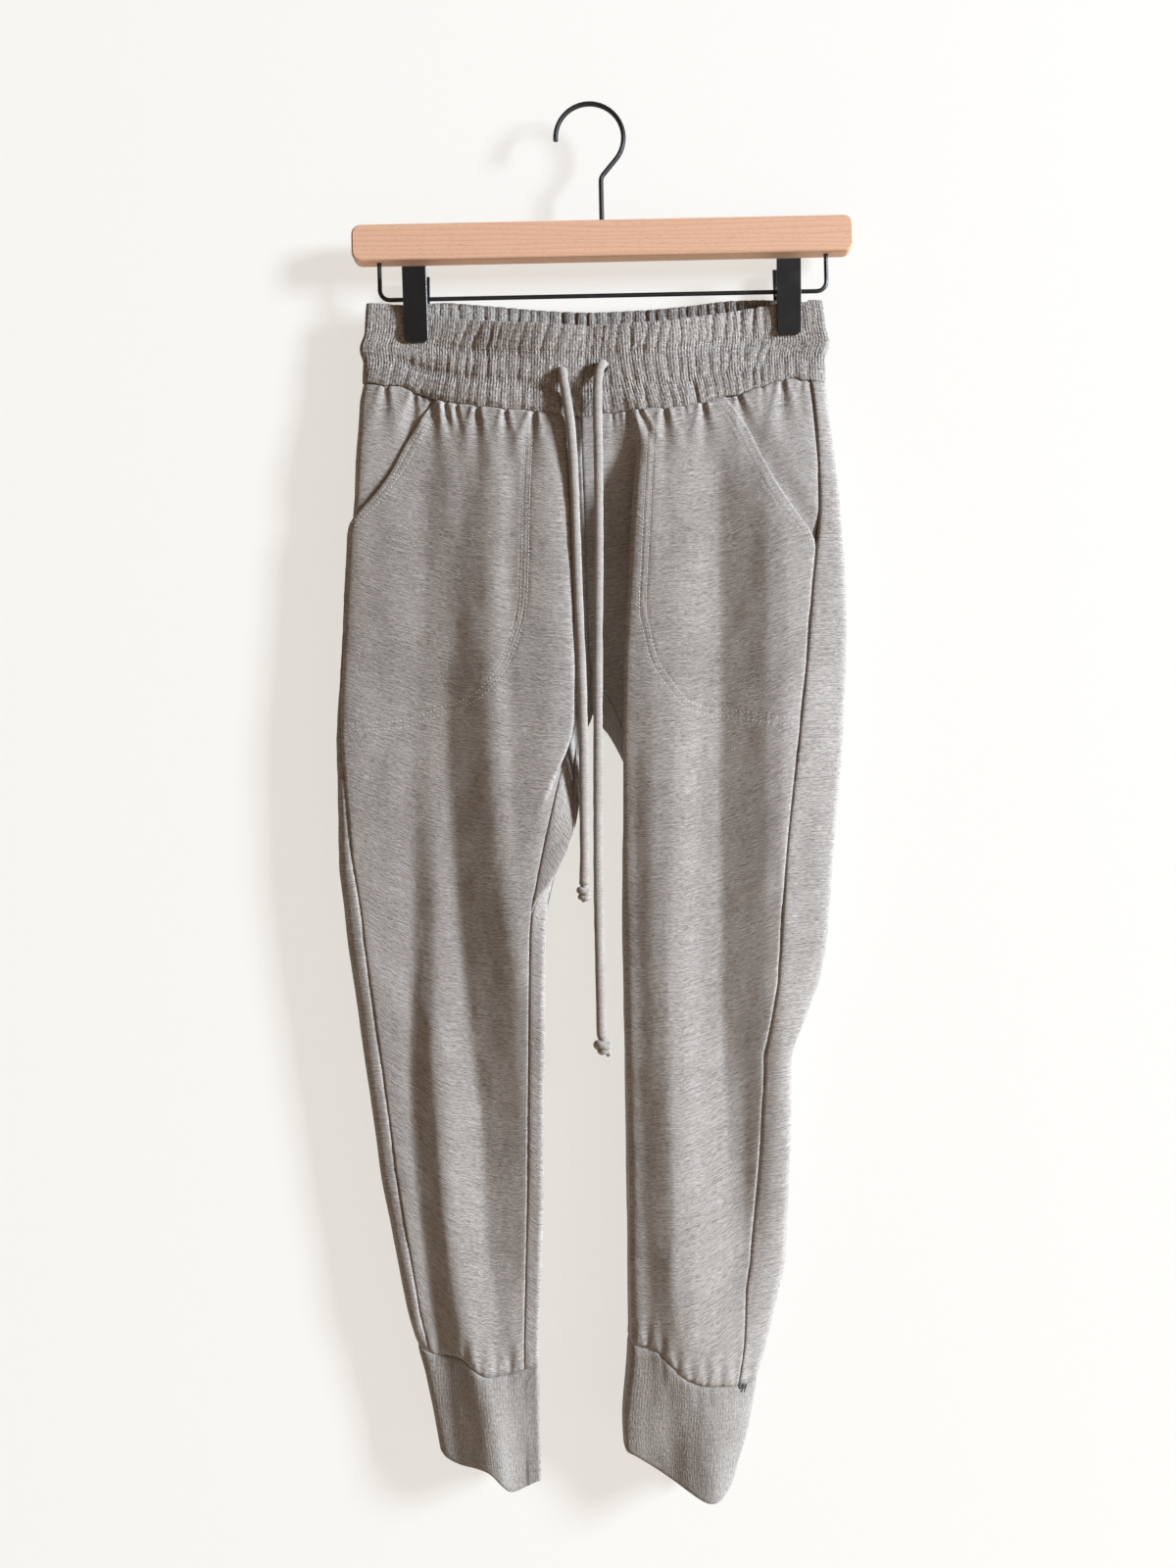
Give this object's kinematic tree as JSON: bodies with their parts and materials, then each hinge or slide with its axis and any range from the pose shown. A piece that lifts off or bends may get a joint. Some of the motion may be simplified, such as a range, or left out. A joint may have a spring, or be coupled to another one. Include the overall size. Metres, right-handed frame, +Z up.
{
  "type": "sweatpants on a clip hanger",
  "caption": "Heather grey jogger sweatpants with slant pockets, ribbed cuffs, gathered waistband and drawstring, held by the waist on a flat wooden clip hanger.",
  "frame": {"origin": "where the hanger's hook rests on what holds it, at the top of the inside of its arc, in the middle of the wire", "axes": "+Z up as hung; -Y the wearer's front; -X the wearer's right"},
  "size_m": [0.3909, 0.057, 1.0523],
  "materials": {
    "heather_grey_terry": "matte, brushed heather knit",
    "heather_grey_rib": "matte, ribbed knit",
    "beech": "satin lacquer",
    "black_powder_coat": "satin black",
    "dark_spring_steel": "dark oiled"
  },
  "bodies": {
    "root": {"front_right": "heather_grey_terry", "front_left": "heather_grey_terry", "back_right": "heather_grey_terry", "back_left": "heather_grey_terry", "pocket_right": "heather_grey_terry", "pocket_left": "heather_grey_terry", "gusset": "heather_grey_terry", "drawstring_right": "heather_grey_terry", "drawstring_left": "heather_grey_terry", "knot_right": "heather_grey_terry", "knot_left": "heather_grey_terry", "waistband": "heather_grey_rib", "cuff_right": "heather_grey_rib", "cuff_left": "heather_grey_rib", "wooden_bar": "beech", "hook": "black_powder_coat", "clip_rail": "black_powder_coat", "clip_right_jaw_front": "black_powder_coat", "clip_right_jaw_back": "black_powder_coat", "clip_left_jaw_front": "black_powder_coat", "clip_left_jaw_back": "black_powder_coat", "clip_right_spring": "dark_spring_steel", "clip_left_spring": "dark_spring_steel"}
  },
  "joints": []
}
